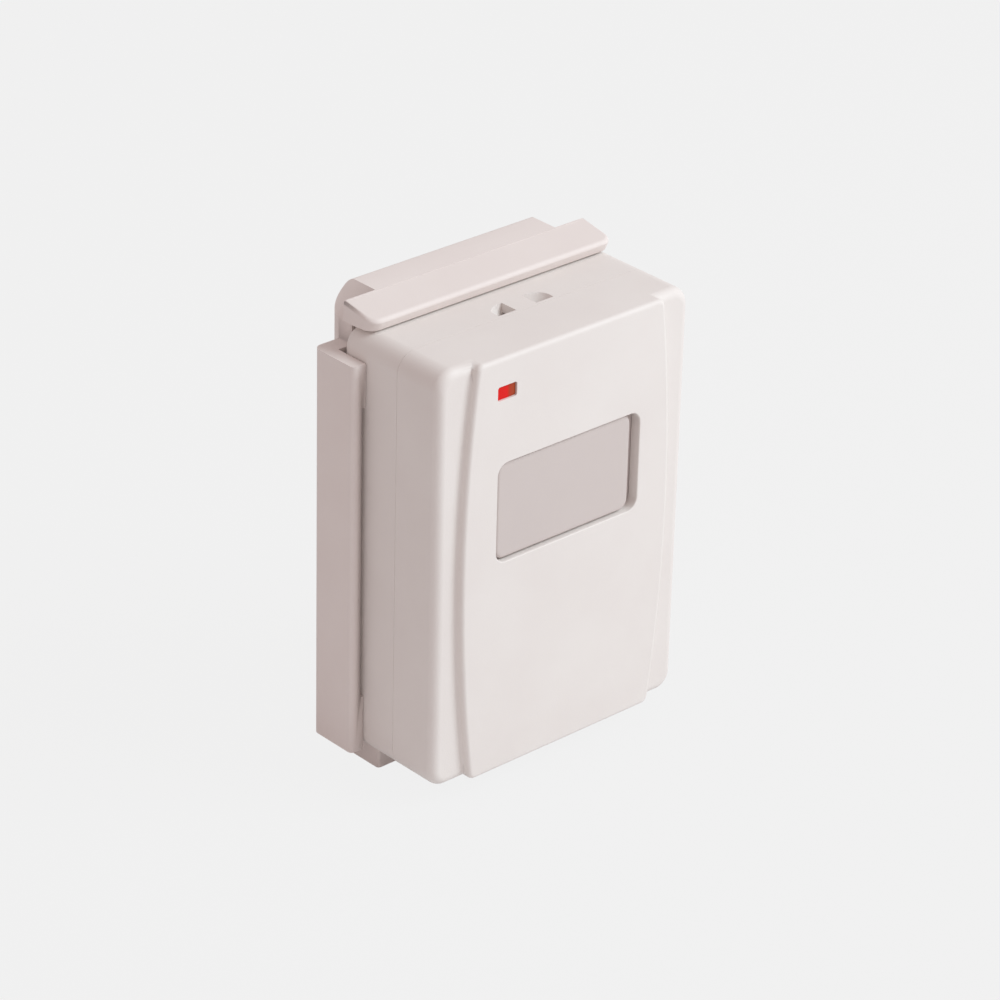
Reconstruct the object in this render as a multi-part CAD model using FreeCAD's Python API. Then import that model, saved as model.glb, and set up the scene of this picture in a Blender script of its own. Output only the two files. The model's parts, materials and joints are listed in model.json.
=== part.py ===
"""Wireless panic button in its wall holder.

A two-part moulded case holds a circuit board, a battery and a large press button. The case sits in a
moulded holder: a back plate with two side flanges, a ledge below and a sprung hook over the top.
While modelling, X is right, Y runs back from the raised front panel and Z is up from the case's base.
Every node is then moved so that the origin lies on the wall plane, midway between the two wall holes.
Millimetres throughout.
"""
import FreeCAD, Part
import math
import os

Vector = FreeCAD.Vector

# Case
CASE_WIDTH = 54.8
CASE_HEIGHT = 76.2
CASE_DEPTH = 25.4
SEAM_DEPTH = 11.5
WALL = 2.0
STRIP_DROP = 2.4
PANEL_WAIST = 45.4
PANEL_END = 40.2
CASE_TOP_CORNER = 3.6
CASE_BOTTOM_CORNER = 3.0
PANEL_EDGE = 1.2
STRIP_EDGE = 1.5
REAR_EDGE = 2.4
SEAM_GROOVE = 0.12
TONGUE_HEIGHT = 1.4
TONGUE_THICKNESS = 0.9
TONGUE_PLAY = 0.1

# Press button
BUTTON_WIDTH = 30.0
BUTTON_HEIGHT = 17.2
BUTTON_DROP = 28.0
BUTTON_RECESS = 1.5
BUTTON_TRAVEL = 1.0
BUTTON_SIDE_PLAY = 0.75
BUTTON_END_PLAY = 0.4
BUTTON_CORNER = 2.1
BUTTON_EDGE = 0.9
OPENING_EDGE = 0.35
BUTTON_SKIN = 1.4
FLANGE_LIP = 1.7
FLANGE_THICKNESS = 1.5
RUNNING_GAP = 0.1
STEM_RADIUS = 3.0

# Indicator
WINDOW_WIDTH = 4.1
WINDOW_HEIGHT = 2.5
WINDOW_X = -14.1
WINDOW_DROP = 6.2
LENS_RECESS = 0.35
WINDOW_CORNER = 0.4
LENS_FLANGE = 1.0
LENS_FLANGE_THICKNESS = 0.8
LENS_GUIDE_INSET = 0.5
LED_LENGTH = 3.2
LED_WIDTH = 1.6
LED_HEIGHT = 1.2
LED_GAP = 0.3

# Strap bridge in the case's top
BRIDGE_WIDTH = 4.3
BRIDGE_THICKNESS = 1.6
STRAP_SPAN = 17.2
STRAP_DEPTH = 3.8
STRAP_WIDTH = 2.4
STRAP_SETBACK = 0.5
STRAP_RIM = 2.4
STRAP_CORNER = 1.2
STRAP_BOWL = 0.9

# Circuit board and what it carries
BOARD_WIDTH = 37.0
BOARD_THICKNESS = 1.6
BOARD_FRONT = 9.0
BOARD_BOTTOM = 24.5
BOARD_TOP_DROP = 3.2
BOARD_CORNER = 1.5
SWITCH_SIZE = 12.0
SWITCH_HEIGHT = 3.6
SWITCH_SHELL = 0.8
PLUNGER_RADIUS = 3.3
PLUNGER_COLLAR = 0.9
PLUNGER_COLLAR_THICKNESS = 0.7
TERMINAL_RADIUS = 0.45
TERMINAL_SPREAD = 5.0
TERMINAL_TAIL = 0.9
CHIP_HEIGHT = 1.1
CONTROLLER_SIZE = (10.0, 7.5)
CONTROLLER_PLACE = (4.5, -10.2)
RADIO_SIZE = (6.0, 6.0)
RADIO_PLACE = (-8.0, 8.8)
CRYSTAL_SIZE = (5.0, 3.2)
CRYSTAL_PLACE = (2.0, 9.3)
REGULATOR_SIZE = (4.6, 3.0)
REGULATOR_X = -7.5
REGULATOR_RISE = 6.5
CAPACITOR_SIZE = (2.0, 1.25)
CAPACITOR_HEIGHT = 0.9
CAPACITOR_COUNT = 4
CAPACITOR_PITCH = 3.2
CAPACITOR_PLACE = (-8.0, -1.2)
ANTENNA_RADIUS = 0.5
ANTENNA_SPAN = 28.0
ANTENNA_DROP = 8.0
ANTENNA_STAND = 5.0
ANTENNA_BEND = 1.6

# Battery, a cylindrical lithium cell lying across the case
CELL_RADIUS = 8.5
CELL_LENGTH = 33.8
CELL_EDGE = 0.8
CELL_NUB_RADIUS = 3.0
CELL_NUB = 0.7
CELL_X = 1.4
CELL_PLAY = 0.1
CELL_FLOOR = 2.5
SADDLE_THICKNESS = 1.6
SADDLE_OFFSET = 9.5
SADDLE_RISE = 2.0
CONTACT_THICKNESS = 0.4
CONTACT_FOOT = 2.4
CONTACT_FOOT_HEIGHT = 2.2
CONTACT_BASE = 8.6
SPRING_LENGTH = 4.0
SPRING_SPAN = 9.0
SPRING_FOOT = 1.0
SPRING_WIDTH = 5.0
SPRING_THICKNESS = 0.35

# Screws
SCREW_RADIUS = 1.3
SCREW_HEAD_RADIUS = 2.5
SCREW_HEAD = 1.8
SCREW_LENGTH = 15.5
SCREW_PLAY = 0.05
SCREW_HOLE_PLAY = 0.3
SCREW_SINK = 2.8
SCREW_INSET_X = 4.7
SCREW_INSET_Z = 5.2
TOWER_RADIUS = 3.3
BOSS_RADIUS = 2.9
DRIVE_SLOT = 0.6
DRIVE_DEPTH = 0.9
BOARD_SCREW_RADIUS = 0.9
BOARD_SCREW_HEAD_RADIUS = 1.8
BOARD_SCREW_HEAD = 1.1
BOARD_SCREW_LENGTH = 5.0
BOARD_SCREW_X = 13.5
BOARD_SCREW_INSET = 3.5
BOARD_BOSS_RADIUS = 2.2

# Holder
PLATE_THICKNESS = 3.2
CASE_REAR_PLAY = 0.4
CASE_SIDE_PLAY = 0.15
CASE_TOP_PLAY = 0.45
FLANGE_WALL = 2.55
FLANGE_REACH = 6.9
FLANGE_RELIEF = 0.6
FLANGE_RELIEF_RISE = 10.3
FLANGE_RELIEF_DROP = 7.8
HOLDER_TOP_DROP = 4.3
HOLDER_BOTTOM = 0.3
HOLDER_EDGE = 0.8
HOLDER_REAR_EDGE = 1.5
STANDOFF = 3.4
BACK_WIDTH = 49.4
BACK_CORNER = 3.5
BACK_WALL = 2.2
BACK_RIB = 1.6
BACK_RIB_SPACING = 24.1
HOLE_PAD_RADIUS = 6.0
LEDGE_WIDTH = 50.4
LEDGE_THICKNESS = 3.8
LEDGE_REACH = 8.2
LEDGE_CORNER = 0.6
HOOK_WIDTH = 51.4
HOOK_LIP_REACH = 6.7
HOOK_LIP_FRONT = 1.9
HOOK_LIP_CORNER = 2.4
HOOK_THICKNESS = 3.35
HOOK_EDGE = 0.7
SHOULDER_WIDTH = 39.2
SHOULDER_DROP = 4.5
RIDGE_ROUND = 1.0
WALL_HOLE_RADIUS = 2.1
WALL_HOLE_HEAD_RADIUS = 4.1
WALL_HOLE_SPACING = 40.0

# Places worked out from the sizes above
HALF_CASE = CASE_WIDTH / 2
BUTTON_Z = CASE_HEIGHT - BUTTON_DROP
WINDOW_Z = CASE_HEIGHT - WINDOW_DROP
BOARD_TOP = CASE_HEIGHT - BOARD_TOP_DROP
ANTENNA_Z = BOARD_TOP - ANTENNA_DROP
HOLDER_TOP = CASE_HEIGHT - HOLDER_TOP_DROP
FLANGE_RELIEF_LOW = HOLDER_BOTTOM + FLANGE_RELIEF_RISE
FLANGE_RELIEF_HIGH = HOLDER_TOP - FLANGE_RELIEF_DROP
SEAM_Y = SEAM_DEPTH
PANEL_BACK = WALL
STRIP_BACK = STRIP_DROP + WALL
CASE_BACK_INSIDE = CASE_DEPTH - WALL
PLATE_FRONT = CASE_DEPTH + CASE_REAR_PLAY
PLATE_REAR = PLATE_FRONT + PLATE_THICKNESS
WALL_Y = PLATE_REAR + STANDOFF
HALF_BACK = BACK_WIDTH / 2
HOLDER_INNER = HALF_CASE + CASE_SIDE_PLAY
HOLDER_OUTER = HOLDER_INNER + FLANGE_WALL
HOLES_MIDDLE = CASE_HEIGHT / 2
BOARD_REAR = BOARD_FRONT + BOARD_THICKNESS
SWITCH_FRONT = BOARD_FRONT - SWITCH_HEIGHT
CAP_FLANGE_FRONT = PANEL_BACK + RUNNING_GAP
CAP_FLANGE_REAR = CAP_FLANGE_FRONT + FLANGE_THICKNESS
PLUNGER_FRONT = SWITCH_FRONT - BUTTON_TRAVEL - RUNNING_GAP
STEM_END = PLUNGER_FRONT - RUNNING_GAP / 2
CELL_Y = CASE_BACK_INSIDE - CELL_PLAY - CELL_RADIUS
CELL_Z = WALL + CELL_FLOOR + CELL_RADIUS
CELL_LEFT = CELL_X - CELL_LENGTH / 2
CELL_RIGHT = CELL_X + CELL_LENGTH / 2 + CELL_NUB
STRAP_FRONT = SEAM_Y + STRAP_SETBACK
STRAP_BACK = STRAP_FRONT + STRAP_WIDTH
STRAP_REAR = STRAP_BACK + STRAP_RIM
HOOK_UNDER = CASE_HEIGHT + CASE_TOP_PLAY
HOOK_TOP = HOOK_UNDER + HOOK_THICKNESS
HOOK_FRONT = PLATE_FRONT - HOOK_LIP_REACH
BOARD_SCREW_PLACES = ((-BOARD_SCREW_X, BOARD_BOTTOM + BOARD_SCREW_INSET),
                      (BOARD_SCREW_X, BOARD_BOTTOM + BOARD_SCREW_INSET),
                      (BOARD_SCREW_X, BOARD_TOP - BOARD_SCREW_INSET))
ORIGIN = Vector(0, WALL_Y, HOLES_MIDDLE)


def block(x0, x1, y0, y1, z0, z1):
    """Box between two corners."""
    return Part.makeBox(x1 - x0, y1 - y0, z1 - z0, Vector(x0, y0, z0))


def rod(x, y, z, radius, length, direction=Vector(0, 1, 0)):
    """Cylinder that starts at a point and runs along a direction, to the rear unless told otherwise."""
    return Part.makeCylinder(radius, length, Vector(x, y, z), direction)


def edges_where(shape, test):
    return [edge for edge in shape.Edges if test(edge)]


def runs_along(edge, axis):
    """True for a straight edge parallel to an axis."""
    if not isinstance(edge.Curve, Part.Line):
        return False
    return abs(abs(edge.tangentAt(edge.FirstParameter).dot(axis)) - 1) < 1e-6


def all_at_y(edge, y):
    return all(abs(vertex.Y - y) < 1e-6 for vertex in edge.Vertexes)


def upright_plate(half_width, y0, y1, z0, z1, top_corner=0, bottom_corner=0):
    """Plate facing the front, with its top and bottom corners rounded about Y."""
    plate = block(-half_width, half_width, y0, y1, z0, z1)
    along_y = edges_where(plate, lambda edge: runs_along(edge, Vector(0, 1, 0)))
    if top_corner:
        plate_top = [edge for edge in along_y if abs(edge.CenterOfMass.z - z1) < 1e-6]
        plate = plate.makeFillet(top_corner, plate_top)
    if bottom_corner:
        plate_bottom = edges_where(plate, lambda edge: runs_along(edge, Vector(0, 1, 0))
                                   and abs(edge.CenterOfMass.z - z0) < 1e-6)
        plate = plate.makeFillet(bottom_corner, plate_bottom)
    return plate


def round_edges_at(shape, y, radius):
    return shape.makeFillet(radius, edges_where(shape, lambda edge: all_at_y(edge, y)))


def extrude_face(edges, direction):
    return Part.Face(Part.Wire(edges)).extrude(direction)


def segment(a, b):
    return Part.LineSegment(a, b).toShape()


def arc(a, middle, b):
    return Part.Arc(a, middle, b).toShape()


def fuse(shapes):
    """One solid from pieces that touch or overlap, with the joint lines removed."""
    return shapes[0].multiFuse(shapes[1:]).removeSplitter()


def cut_each(shape, tools):
    return shape.cut(Part.makeCompound(tools)) if tools else shape


def waisted_panel(y0, y1, inset=0):
    """The raised panel: straight top and bottom, and two long edges that bow outwards."""
    end = PANEL_END / 2 - inset
    waist = PANEL_WAIST / 2 - inset
    low, high = inset, CASE_HEIGHT - inset
    middle = CASE_HEIGHT / 2
    left_low, right_low = Vector(-end, y0, low), Vector(end, y0, low)
    left_high, right_high = Vector(-end, y0, high), Vector(end, y0, high)
    outline = [segment(left_low, right_low), arc(right_low, Vector(waist, y0, middle), right_high),
               segment(right_high, left_high), arc(left_high, Vector(-waist, y0, middle), left_low)]
    return extrude_face(outline, Vector(0, y1 - y0, 0))


def case_slab(y0, y1, inset=0):
    """A slice of the case's outline between two depths."""
    top_corner = max(CASE_TOP_CORNER - inset, 0.2)
    bottom_corner = max(CASE_BOTTOM_CORNER - inset, 0.2)
    return upright_plate(HALF_CASE - inset, y0, y1, inset, CASE_HEIGHT - inset, top_corner, bottom_corner)


def case_ring(y0, y1, outer_inset, inner_inset):
    return case_slab(y0, y1, outer_inset).cut(case_slab(y0, y1, inner_inset))


def case_screw_places():
    """X and Z of the four screws that close the case."""
    x = HALF_CASE - SCREW_INSET_X
    return [(side * x, z) for z in (SCREW_INSET_Z, CASE_HEIGHT - SCREW_INSET_Z) for side in (-1, 1)]


def strap_housing(y0, y1, margin=0):
    """Room round the strap bridge, inside the top wall."""
    reach = STRAP_SPAN / 2 + WALL + margin
    return block(-reach, reach, y0, y1, CASE_HEIGHT - STRAP_DEPTH - WALL - margin, CASE_HEIGHT - WALL)


def strap_channel():
    """The open channel across the strap bridge, before its rims are rounded."""
    half = STRAP_SPAN / 2 - STRAP_RIM
    floor = CASE_HEIGHT - STRAP_DEPTH
    channel = block(-half, half, STRAP_FRONT, STRAP_BACK, floor, CASE_HEIGHT)
    corners = edges_where(channel, lambda edge: runs_along(edge, Vector(0, 0, 1)) and all_at_y(edge, STRAP_BACK))
    channel = channel.makeFillet(STRAP_CORNER, corners)
    bowl = edges_where(channel, lambda edge: abs(edge.BoundBox.ZMax - floor) < 1e-6
                       and not all_at_y(edge, STRAP_FRONT))
    return channel.makeFillet(STRAP_BOWL, bowl)


def with_strap_bridge(shell):
    """Cuts the channel, rounds its ends and rear at the top and leaves a bridge across its middle."""
    open_shell = shell.cut(strap_channel())
    reach = STRAP_SPAN / 2 - STRAP_RIM

    def on_rim(edge):
        box = edge.BoundBox
        level = abs(box.ZMin - CASE_HEIGHT) < 1e-6 and abs(box.ZMax - CASE_HEIGHT) < 1e-6
        return level and not all_at_y(edge, STRAP_FRONT) and abs(edge.CenterOfMass.x) <= reach + 1e-6

    rims = [edge for edge in edges_where(open_shell, on_rim)
            if STRAP_FRONT < edge.CenterOfMass.y < STRAP_BACK + 1e-6]
    rounded = open_shell.makeFillet(STRAP_RIM, rims)
    bridge = block(-BRIDGE_WIDTH / 2, BRIDGE_WIDTH / 2, STRAP_FRONT, STRAP_BACK + STRAP_RIM,
                   CASE_HEIGHT - BRIDGE_THICKNESS, CASE_HEIGHT)
    return fuse([rounded, bridge])


def front_cover():
    """Front moulding: side strips, raised panel, button opening, indicator window and bosses."""
    base = round_edges_at(case_slab(STRIP_DROP, SEAM_Y), STRIP_DROP, STRIP_EDGE)
    panel = round_edges_at(waisted_panel(0, SEAM_Y), 0, PANEL_EDGE)
    shell = base.fuse(panel)
    shell = shell.cut(case_slab(STRIP_BACK, SEAM_Y, WALL))
    shell = shell.cut(waisted_panel(PANEL_BACK, STRIP_BACK, WALL))
    shell = shell.cut(case_ring(SEAM_Y - SEAM_GROOVE, SEAM_Y, 0, SEAM_GROOVE))
    opening_half = BUTTON_WIDTH / 2 + BUTTON_SIDE_PLAY
    opening_rise = BUTTON_HEIGHT / 2 + BUTTON_END_PLAY
    corner = BUTTON_CORNER + BUTTON_END_PLAY
    opening = upright_plate(opening_half, -WALL, STRIP_BACK, BUTTON_Z - opening_rise,
                            BUTTON_Z + opening_rise, corner, corner)
    window = upright_plate(WINDOW_WIDTH / 2, -WALL, STRIP_BACK, WINDOW_Z - WINDOW_HEIGHT / 2,
                           WINDOW_Z + WINDOW_HEIGHT / 2, WINDOW_CORNER, WINDOW_CORNER)
    window.translate(Vector(WINDOW_X, 0, 0))
    shell = shell.cut(opening).cut(window)
    rim = edges_where(shell, lambda edge: all_at_y(edge, 0) and abs(edge.CenterOfMass.x) <= opening_half + 1e-6
                      and abs(edge.CenterOfMass.z - BUTTON_Z) <= opening_rise + 1e-6)
    shell = shell.makeFillet(OPENING_EDGE, rim)
    tongue_inner = WALL + TONGUE_THICKNESS
    tongue = case_ring(SEAM_Y - WALL, SEAM_Y + TONGUE_HEIGHT, WALL, tongue_inner)
    tongue = tongue.cut(strap_housing(SEAM_Y - WALL, SEAM_Y + TONGUE_HEIGHT, TONGUE_PLAY))
    towers = [rod(x, SEAM_Y, z, TOWER_RADIUS + TONGUE_PLAY, TONGUE_HEIGHT) for x, z in case_screw_places()]
    tongue = cut_each(tongue, towers)
    bosses = [rod(x, STRIP_DROP + WALL / 2, z, BOSS_RADIUS, SEAM_Y - STRIP_DROP - WALL / 2)
              for x, z in case_screw_places()]
    posts = [rod(x, PANEL_BACK, z, BOARD_BOSS_RADIUS, BOARD_FRONT - PANEL_BACK)
             for x, z in BOARD_SCREW_PLACES]
    shell = fuse([shell, tongue] + bosses + posts)
    pilot_end = CASE_DEPTH - SCREW_SINK - SCREW_LENGTH
    pilots = [rod(x, pilot_end, z, SCREW_RADIUS + SCREW_PLAY, SEAM_Y - pilot_end)
              for x, z in case_screw_places()]
    board_pilot_end = BOARD_REAR - BOARD_SCREW_LENGTH
    pilots += [rod(x, board_pilot_end, z, BOARD_SCREW_RADIUS + SCREW_PLAY, BOARD_FRONT - board_pilot_end)
               for x, z in BOARD_SCREW_PLACES]
    return cut_each(shell, pilots)


def battery_saddle(x):
    """Upright rib with a round seat that holds the battery against the rear wall."""
    rib = block(x - SADDLE_THICKNESS / 2, x + SADDLE_THICKNESS / 2, SEAM_Y + TONGUE_HEIGHT + TONGUE_PLAY,
                CASE_BACK_INSIDE, WALL, CELL_Z + CELL_RADIUS + SADDLE_RISE)
    seat = rod(x - SADDLE_THICKNESS, CELL_Y, CELL_Z, CELL_RADIUS + CELL_PLAY / 2, 2 * SADDLE_THICKNESS,
               Vector(1, 0, 0))
    mouth = block(x - SADDLE_THICKNESS, x + SADDLE_THICKNESS, SEAM_Y, CELL_Y,
                  CELL_Z - CELL_RADIUS - CELL_PLAY / 2, CELL_Z + CELL_RADIUS + CELL_PLAY / 2)
    return rib.cut(seat).cut(mouth)


def rear_cover():
    """Rear moulding: rounded back, strap bridge in its top, screw towers and battery saddles."""
    shell = round_edges_at(case_slab(SEAM_Y, CASE_DEPTH), CASE_DEPTH, REAR_EDGE)
    shell = shell.cut(case_slab(SEAM_Y, CASE_BACK_INSIDE, WALL))
    towers = [rod(x, SEAM_Y, z, TOWER_RADIUS, CASE_BACK_INSIDE - SEAM_Y) for x, z in case_screw_places()]
    saddles = [battery_saddle(CELL_X + side * SADDLE_OFFSET) for side in (-1, 1)]
    shell = fuse([shell, strap_housing(SEAM_Y, STRAP_REAR + WALL)] + towers + saddles)
    holes = [rod(x, SEAM_Y, z, SCREW_RADIUS + SCREW_HOLE_PLAY, CASE_DEPTH - SEAM_Y)
             for x, z in case_screw_places()]
    holes += [rod(x, CASE_DEPTH - SCREW_SINK, z, SCREW_HEAD_RADIUS + SCREW_HOLE_PLAY, SCREW_SINK)
              for x, z in case_screw_places()]
    return cut_each(with_strap_bridge(shell), holes)


def alarm_button():
    """Press cap: rounded crown, a flange that stops it behind the panel, and a stem at the switch."""
    half = BUTTON_WIDTH / 2
    rise = BUTTON_HEIGHT / 2
    crown = upright_plate(half, BUTTON_RECESS, CAP_FLANGE_REAR, BUTTON_Z - rise, BUTTON_Z + rise,
                          BUTTON_CORNER, BUTTON_CORNER)
    crown = round_edges_at(crown, BUTTON_RECESS, BUTTON_EDGE)
    flange_half, flange_rise = half + FLANGE_LIP, rise + FLANGE_LIP
    flange = upright_plate(flange_half, CAP_FLANGE_FRONT, CAP_FLANGE_REAR, BUTTON_Z - flange_rise,
                           BUTTON_Z + flange_rise, BUTTON_CORNER, BUTTON_CORNER)
    hollow = upright_plate(half - BUTTON_SKIN, BUTTON_RECESS + BUTTON_SKIN, CAP_FLANGE_REAR,
                           BUTTON_Z - rise + BUTTON_SKIN, BUTTON_Z + rise - BUTTON_SKIN)
    stem = rod(0, BUTTON_RECESS + BUTTON_SKIN / 2, BUTTON_Z, STEM_RADIUS,
               STEM_END - BUTTON_RECESS - BUTTON_SKIN / 2)
    return fuse([crown.fuse(flange).cut(hollow), stem])


def indicator_lens():
    """Clear red light guide from the window to the lamp on the board."""
    head = upright_plate(WINDOW_WIDTH / 2, LENS_RECESS, PANEL_BACK, WINDOW_Z - WINDOW_HEIGHT / 2,
                         WINDOW_Z + WINDOW_HEIGHT / 2, WINDOW_CORNER, WINDOW_CORNER)
    flange = upright_plate(WINDOW_WIDTH / 2 + LENS_FLANGE, PANEL_BACK, PANEL_BACK + LENS_FLANGE_THICKNESS,
                           WINDOW_Z - WINDOW_HEIGHT / 2 - LENS_FLANGE,
                           WINDOW_Z + WINDOW_HEIGHT / 2 + LENS_FLANGE)
    guide = upright_plate(WINDOW_WIDTH / 2 - LENS_GUIDE_INSET, PANEL_BACK + LENS_FLANGE_THICKNESS,
                          BOARD_FRONT - LED_HEIGHT - LED_GAP,
                          WINDOW_Z - WINDOW_HEIGHT / 2 + LENS_GUIDE_INSET,
                          WINDOW_Z + WINDOW_HEIGHT / 2 - LENS_GUIDE_INSET)
    lens = fuse([head, flange, guide])
    lens.translate(Vector(WINDOW_X, 0, 0))
    return lens


def circuit_board():
    board = upright_plate(BOARD_WIDTH / 2, BOARD_FRONT, BOARD_REAR, BOARD_BOTTOM, BOARD_TOP,
                          BOARD_CORNER, BOARD_CORNER)
    holes = [rod(x, BOARD_FRONT, z, BOARD_SCREW_RADIUS + SCREW_PLAY, BOARD_THICKNESS)
             for x, z in BOARD_SCREW_PLACES]
    holes += [rod(x, BOARD_FRONT, z, TERMINAL_RADIUS, BOARD_THICKNESS) for x, z in terminal_places()]
    return cut_each(board, holes)


def terminal_places():
    return [(sx * TERMINAL_SPREAD, BUTTON_Z + sz * TERMINAL_SPREAD) for sz in (-1, 1) for sx in (-1, 1)]


def switch_terminals():
    """Four round legs through the board."""
    return Part.makeCompound([rod(x, BOARD_FRONT, z, TERMINAL_RADIUS, BOARD_THICKNESS + TERMINAL_TAIL)
                              for x, z in terminal_places()])


def switch_body():
    """Square push switch with a round bore for its plunger."""
    half = SWITCH_SIZE / 2
    body = upright_plate(half, SWITCH_FRONT, BOARD_FRONT, BUTTON_Z - half, BUTTON_Z + half,
                         SWITCH_SHELL, SWITCH_SHELL)
    bore = rod(0, SWITCH_FRONT, BUTTON_Z, PLUNGER_RADIUS + RUNNING_GAP, SWITCH_HEIGHT - SWITCH_SHELL)
    chamber = rod(0, SWITCH_FRONT + SWITCH_SHELL, BUTTON_Z, PLUNGER_RADIUS + PLUNGER_COLLAR + RUNNING_GAP,
                  SWITCH_HEIGHT - 2 * SWITCH_SHELL)
    return body.cut(bore).cut(chamber)


def switch_plunger():
    """Round plunger with a collar that keeps it in the switch."""
    collar_front = SWITCH_FRONT + SWITCH_SHELL + RUNNING_GAP
    post = rod(0, PLUNGER_FRONT, BUTTON_Z, PLUNGER_RADIUS, collar_front - PLUNGER_FRONT)
    collar = rod(0, collar_front, BUTTON_Z, PLUNGER_RADIUS + PLUNGER_COLLAR, PLUNGER_COLLAR_THICKNESS)
    return fuse([post, collar])


def rear_component(size, x, z, height=CHIP_HEIGHT):
    """A flat component on the board's rear face, by its width and rise and its centre."""
    width, rise = size
    return block(x - width / 2, x + width / 2, BOARD_REAR, BOARD_REAR + height, z - rise / 2, z + rise / 2)


def by_switch(place):
    """X and Z of a component that is set out from the switch's middle."""
    return place[0], BUTTON_Z + place[1]


def board_capacitors():
    x, z = by_switch(CAPACITOR_PLACE)
    return Part.makeCompound([rear_component(CAPACITOR_SIZE, x + i * CAPACITOR_PITCH, z, CAPACITOR_HEIGHT)
                              for i in range(CAPACITOR_COUNT)])


def indicator_led():
    return block(WINDOW_X - LED_LENGTH / 2, WINDOW_X + LED_LENGTH / 2, BOARD_FRONT - LED_HEIGHT, BOARD_FRONT,
                 WINDOW_Z - LED_WIDTH / 2, WINDOW_Z + LED_WIDTH / 2)


def antenna_wire():
    """A wire staple on the back of the board, bent at both ends."""
    half, back = ANTENNA_SPAN / 2, BOARD_REAR + ANTENNA_STAND
    bend = ANTENNA_BEND
    nib = bend * (1 - math.sqrt(0.5))

    def at(x, y):
        return Vector(x, y, ANTENNA_Z)

    path = Part.Wire([segment(at(-half, BOARD_REAR), at(-half, back - bend)),
                      arc(at(-half, back - bend), at(-half + nib, back - nib), at(-half + bend, back)),
                      segment(at(-half + bend, back), at(half - bend, back)),
                      arc(at(half - bend, back), at(half - nib, back - nib), at(half, back - bend)),
                      segment(at(half, back - bend), at(half, BOARD_REAR))])
    section = Part.Wire(Part.makeCircle(ANTENNA_RADIUS, at(-half, BOARD_REAR), Vector(0, 1, 0)))
    return path.makePipeShell([section], True, False)


def battery():
    """Cylindrical cell with its positive nub to the right."""
    can = rod(CELL_LEFT, CELL_Y, CELL_Z, CELL_RADIUS, CELL_LENGTH, Vector(1, 0, 0))
    can = can.makeFillet(CELL_EDGE, edges_where(can, lambda edge: len(edge.Vertexes) == 1))
    nub = rod(CELL_RIGHT - CELL_NUB - WALL / 2, CELL_Y, CELL_Z, CELL_NUB_RADIUS, CELL_NUB + WALL / 2,
              Vector(1, 0, 0))
    return fuse([can, nub])


def contact_plate(face_x, side):
    """End contact: an upright leaf by the battery with a foot soldered to the board's rear."""
    inner, outer = face_x, face_x + side * CONTACT_THICKNESS
    top = BOARD_BOTTOM + CONTACT_FOOT_HEIGHT
    leaf = block(min(inner, outer), max(inner, outer), BOARD_REAR, CASE_BACK_INSIDE, CONTACT_BASE, top)
    toe = side * (BOARD_WIDTH / 2 - CONTACT_FOOT)
    foot = block(min(toe, outer), max(toe, outer), BOARD_REAR, BOARD_REAR + CONTACT_THICKNESS,
                 BOARD_BOTTOM, top)
    return fuse([leaf, foot])


def battery_spring():
    """Bowed leaf between the negative contact and the cell, with two flat feet on the contact."""
    seat = CELL_LEFT - SPRING_LENGTH
    crown = CELL_LEFT - RUNNING_GAP
    half = SPRING_SPAN / 2

    def at(x, z):
        return Vector(x, CELL_Y - SPRING_WIDTH / 2, CELL_Z + z)

    inner_half = half - SPRING_THICKNESS
    bow = extrude_face([arc(at(seat, -half), at(crown, 0), at(seat, half)), segment(at(seat, half), at(seat, inner_half)),
                        arc(at(seat, inner_half), at(crown - SPRING_THICKNESS, 0), at(seat, -inner_half)),
                        segment(at(seat, -inner_half), at(seat, -half))], Vector(0, SPRING_WIDTH, 0))
    feet = []
    for side in (-1, 1):
        ends = sorted((side * inner_half, side * (half + SPRING_FOOT)))
        feet.append(block(seat, seat + SPRING_THICKNESS, CELL_Y - SPRING_WIDTH / 2, CELL_Y + SPRING_WIDTH / 2,
                          CELL_Z + ends[0], CELL_Z + ends[1]))
    return fuse([bow] + feet)


def pan_screw(x, z, seat_y, radius, head_radius, head, length):
    """Pan-head screw with a cross recess, its head to the rear."""
    shank = rod(x, seat_y - length, z, radius, length)
    cap = rod(x, seat_y, z, head_radius, head)
    cap = cap.makeFillet(head / 2, edges_where(cap, lambda edge: all_at_y(edge, seat_y + head)
                                               and len(edge.Vertexes) == 1))
    arm = head_radius * 0.6
    half = DRIVE_SLOT / 2
    slots = [block(x - arm, x + arm, seat_y + head - DRIVE_DEPTH, seat_y + head, z - half, z + half),
             block(x - half, x + half, seat_y + head - DRIVE_DEPTH, seat_y + head, z - arm, z + arm)]
    return fuse([shank, cut_each(cap, slots)])


def case_screws():
    seat = CASE_DEPTH - SCREW_SINK
    return Part.makeCompound([pan_screw(x, z, seat, SCREW_RADIUS, SCREW_HEAD_RADIUS, SCREW_HEAD,
                                        SCREW_LENGTH) for x, z in case_screw_places()])


def board_screws():
    return Part.makeCompound([pan_screw(x, z, BOARD_REAR, BOARD_SCREW_RADIUS, BOARD_SCREW_HEAD_RADIUS,
                                        BOARD_SCREW_HEAD, BOARD_SCREW_LENGTH)
                              for x, z in BOARD_SCREW_PLACES])


def shelf(y0, y1, z0, z1, front_rise, half, corner):
    """A lip that reaches forward: rounded front corners in plan, and a top that may slope to its front."""
    def at(y, z):
        return Vector(-half, y, z)

    outline = [at(y1, z0), at(y0, z0), at(y0, z0 + front_rise), at(y1, z1)]
    sides = [segment(a, b) for a, b in zip(outline, outline[1:] + outline[:1])]
    lip = extrude_face(sides, Vector(2 * half, 0, 0))
    corners = edges_where(lip, lambda edge: runs_along(edge, Vector(0, 0, 1)) and all_at_y(edge, y0))
    return lip.makeFillet(corner, corners)


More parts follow.
